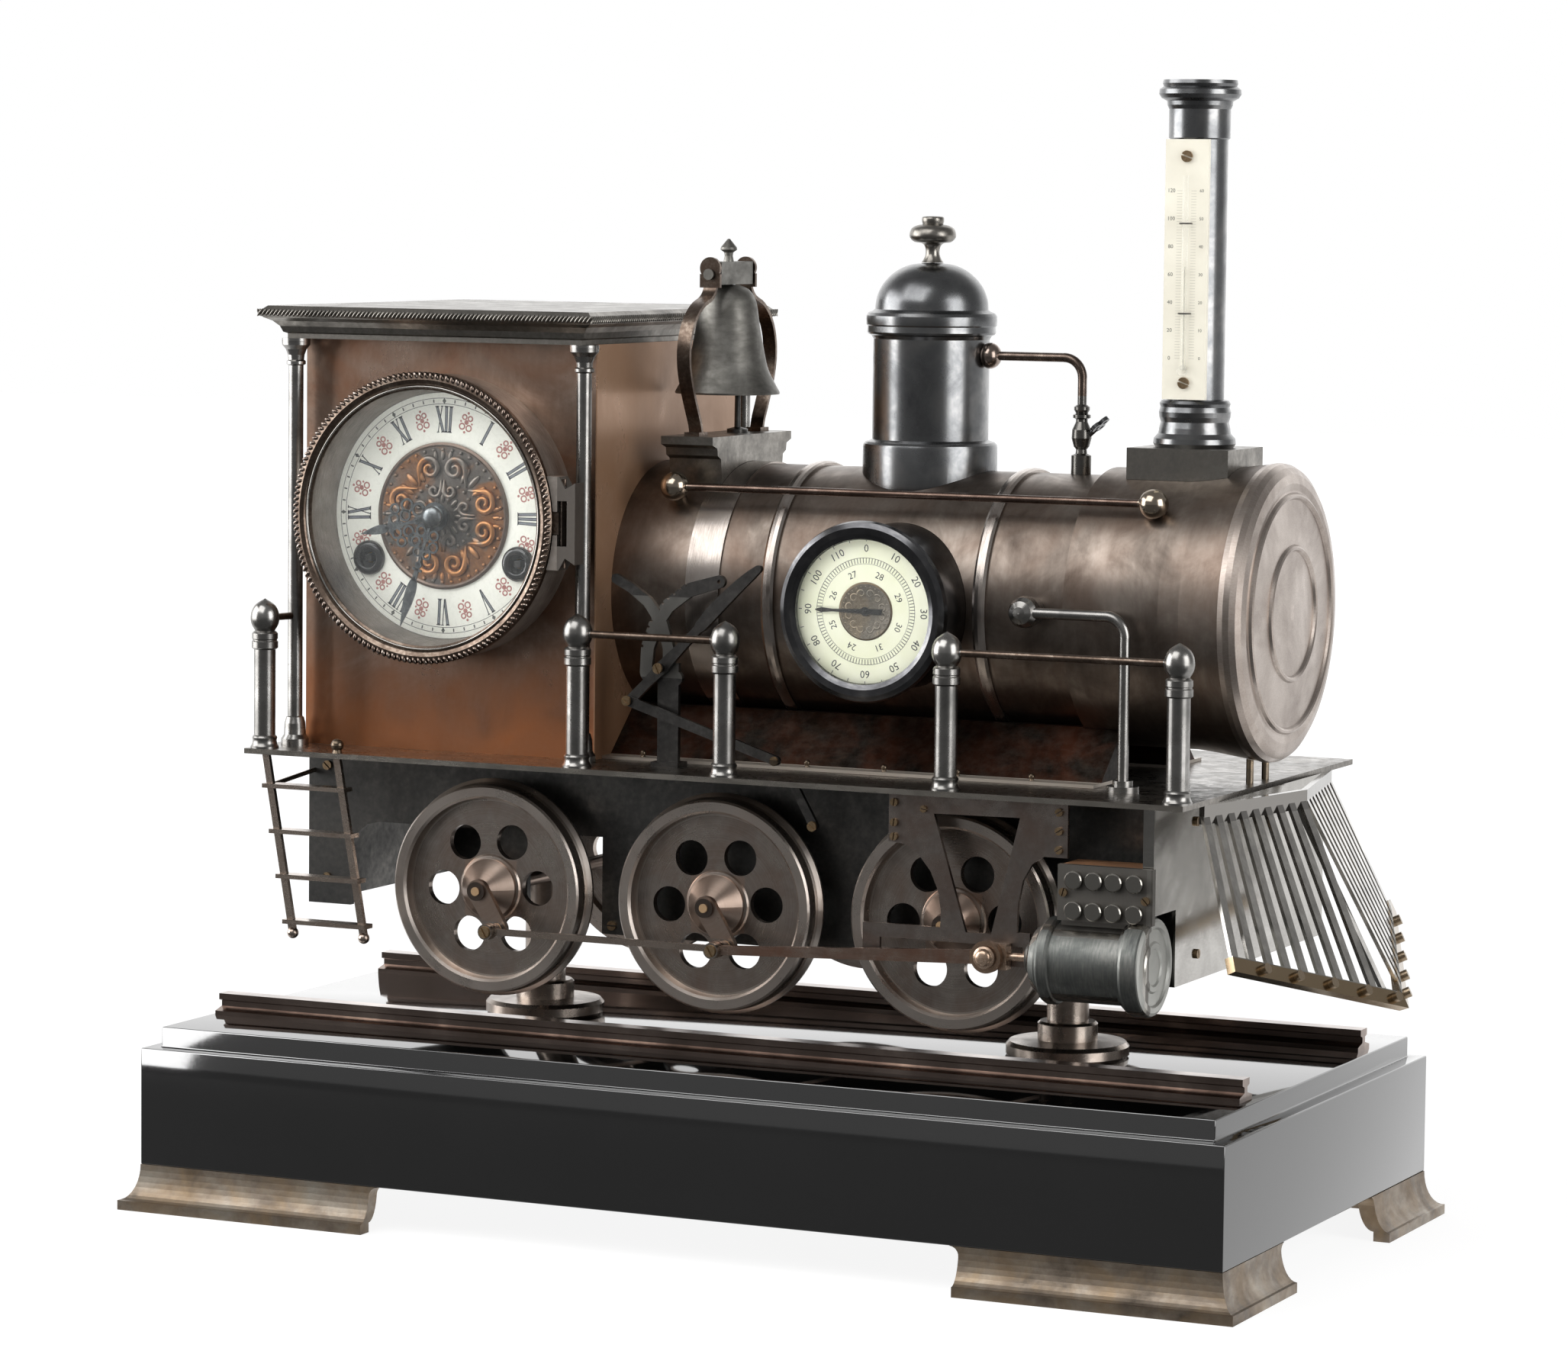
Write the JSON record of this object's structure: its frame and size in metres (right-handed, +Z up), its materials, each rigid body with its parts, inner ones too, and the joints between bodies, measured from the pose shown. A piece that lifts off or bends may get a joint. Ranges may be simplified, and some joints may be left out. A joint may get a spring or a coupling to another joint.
{
  "type": "locomotive clock",
  "caption": "Steam-engine shaped mantel clock with a barometer in the boiler, a thermometer on the chimney, turning wheels and a long stone plinth on bracket feet.",
  "frame": {"origin": "under the middle of the whole clock, cowcatcher included, on the surface that the feet stand on", "axes": "+Z up, +X towards the engine's front (cowcatcher), -Y towards the side with the clock and barometer dials"},
  "size_m": [0.5188, 0.256, 0.472],
  "materials": {
    "black_stone": "polished",
    "foot_bronze": "worn satin",
    "rail_bronze": "satin",
    "black_iron": "blackened",
    "pale_steel": "polished",
    "gun_metal": "dark polished",
    "copper_brown": "patinated",
    "cab_bronze": "patinated",
    "boiler_bronze": "patinated satin",
    "band_bronze": "polished",
    "bell_metal": "dull",
    "wheel_bronze": "turned",
    "steel": "satin",
    "dark_rod": "blued",
    "ivory": "satin",
    "enamel": "gloss",
    "paper": "printed",
    "glass": "clear",
    "bright_brass": "satin",
    "dial_brass": "embossed",
    "blued_hand": "blued"
  },
  "bodies": {
    "engine": {"plinth": "black_stone", "feet": "foot_bronze", "rails": "rail_bronze", "pedestals": "gun_metal", "chassis": "black_iron", "front_plate": "pale_steel", "cowcatcher": "pale_steel", "footplate": "black_iron", "boiler_skirt": "copper_brown", "cab": "cab_bronze", "cab_roof": "gun_metal", "cab_columns": "gun_metal", "boiler": "boiler_bronze", "boiler_bands": "band_bronze", "smokebox_front": "band_bronze", "bell_saddle": "gun_metal", "bell_arms": "copper_brown", "bell_striker": "black_iron", "dome": "gun_metal", "dome_finial": "gun_metal", "steam_pipe": "copper_brown", "chimney_block": "gun_metal", "chimney": "gun_metal", "thermometer_plate": "ivory", "thermometer_tube": "glass", "barometer_case": "black_iron", "barometer_dial": "paper", "barometer_glass": "glass", "clock_drum": "copper_brown", "dial": "enamel", "dial_centre": "dial_brass", "movement_frame": "bright_brass", "spring_barrels": "bright_brass", "handrail": "copper_brown", "side_pipe": "gun_metal", "posts": "gun_metal", "post_rails": "copper_brown", "ladder": "steel", "lever_stand": "black_iron", "cylinder_block": "steel", "slide_bracket": "dark_rod", "screws": "bright_brass"},
    "bell": {"bell": "bell_metal", "bell_yoke": "bell_metal"},
    "bezel_door": {"clock_bezel": "copper_brown", "bezel_glass": "glass"},
    "hour_hand": {"hour_hand": "blued_hand"},
    "minute_hand": {"minute_hand": "blued_hand"},
    "left_winding_arbor": {"winding_arbor_left": "steel"},
    "right_winding_arbor": {"winding_arbor_right": "steel"},
    "barometer_needle": {"barometer_needle": "black_iron"},
    "tap_key": {"tap_key": "gun_metal"},
    "reversing_lever": {"reversing_lever": "black_iron"},
    "reach_rod": {"reach_rod": "black_iron"},
    "rear_wheels": {"wheelset_rear": "wheel_bronze"},
    "middle_wheels": {"wheelset_middle": "wheel_bronze"},
    "front_wheels": {"wheelset_front": "wheel_bronze"},
    "coupling_rod": {"coupling_rod": "dark_rod"},
    "connecting_rod": {"connecting_rod": "dark_rod"},
    "crosshead": {"crosshead": "dark_rod"}
  },
  "joints": [
    {"name": "middle_wheels_turn", "type": "hinge", "parent": "engine", "child": "middle_wheels", "pos_m": [-0.0081, 0, 0.1388], "axis": [0, 1, 0], "continuous": true},
    {"name": "rear_wheels_turn", "type": "hinge", "parent": "engine", "child": "rear_wheels", "pos_m": [-0.11191, 0, 0.1388], "axis": [0, 1, 0], "continuous": true},
    {"name": "front_wheels_turn", "type": "hinge", "parent": "engine", "child": "front_wheels", "pos_m": [0.09559, 0, 0.1388], "axis": [0, 1, 0], "continuous": true},
    {"name": "coupling_rod_turn", "type": "hinge", "parent": "middle_wheels", "child": "coupling_rod", "pos_m": [0.00159, -0.096, 0.12387], "axis": [0, 1, 0], "continuous": true},
    {"name": "connecting_rod_turn", "type": "hinge", "parent": "middle_wheels", "child": "connecting_rod", "pos_m": [0.00159, -0.099, 0.12387], "axis": [0, 1, 0], "continuous": true},
    {"name": "crosshead_slide", "type": "slide", "parent": "engine", "child": "crosshead", "axis": [1, 0, 0], "range_m": [-0.0275, 0.008]},
    {"name": "bezel_door_hinge", "type": "hinge", "parent": "engine", "child": "bezel_door", "pos_m": [-0.0738, -0.0865, 0.291], "axis": [0, 0, 1], "range_deg": [0, 100]},
    {"name": "minute_hand_turn", "type": "hinge", "parent": "engine", "child": "minute_hand", "pos_m": [-0.1382, -0.079, 0.291], "axis": [0, 1, 0], "continuous": true},
    {"name": "hour_hand_turn", "type": "hinge", "parent": "engine", "child": "hour_hand", "pos_m": [-0.1382, -0.077, 0.291], "axis": [0, 1, 0], "continuous": true},
    {"name": "left_winding_turn", "type": "hinge", "parent": "engine", "child": "left_winding_arbor", "pos_m": [-0.17311, -0.06, 0.2724], "axis": [0, 1, 0], "continuous": true},
    {"name": "right_winding_turn", "type": "hinge", "parent": "engine", "child": "right_winding_arbor", "pos_m": [-0.1033, -0.06, 0.2724], "axis": [0, 1, 0], "continuous": true},
    {"name": "barometer_needle_turn", "type": "hinge", "parent": "engine", "child": "barometer_needle", "pos_m": [0.05539, -0.076, 0.2602], "axis": [0, 1, 0], "range_deg": [-45, 225]},
    {"name": "bell_swing", "type": "hinge", "parent": "engine", "child": "bell", "pos_m": [-0.0426, 0, 0.3915], "axis": [0, 1, 0], "range_deg": [-12, 5]},
    {"name": "tap_key_turn", "type": "hinge", "parent": "engine", "child": "tap_key", "pos_m": [0.1162, 0, 0.3265], "axis": [0.7431, 0, 0.6691], "range_deg": [-90, 90]},
    {"name": "reversing_lever_turn", "type": "hinge", "parent": "engine", "child": "reversing_lever", "pos_m": [-0.0356, -0.073, 0.2332], "axis": [0, 1, 0], "range_deg": [-14, 16]},
    {"name": "reach_rod_turn", "type": "hinge", "parent": "reversing_lever", "child": "reach_rod", "pos_m": [-0.04961, -0.075, 0.2194], "axis": [0, 1, 0], "range_deg": [-16, 14]}
  ],
  "couplings": [
    {"joint": "rear_wheels_turn", "follows": "middle_wheels_turn", "ratio": 1},
    {"joint": "coupling_rod_turn", "follows": "middle_wheels_turn", "ratio": -1},
    {"joint": "connecting_rod_turn", "follows": "middle_wheels_turn", "ratio": -1},
    {"joint": "hour_hand_turn", "follows": "minute_hand_turn", "ratio": 0.083333},
    {"joint": "reach_rod_turn", "follows": "reversing_lever_turn", "ratio": -1}
  ]
}
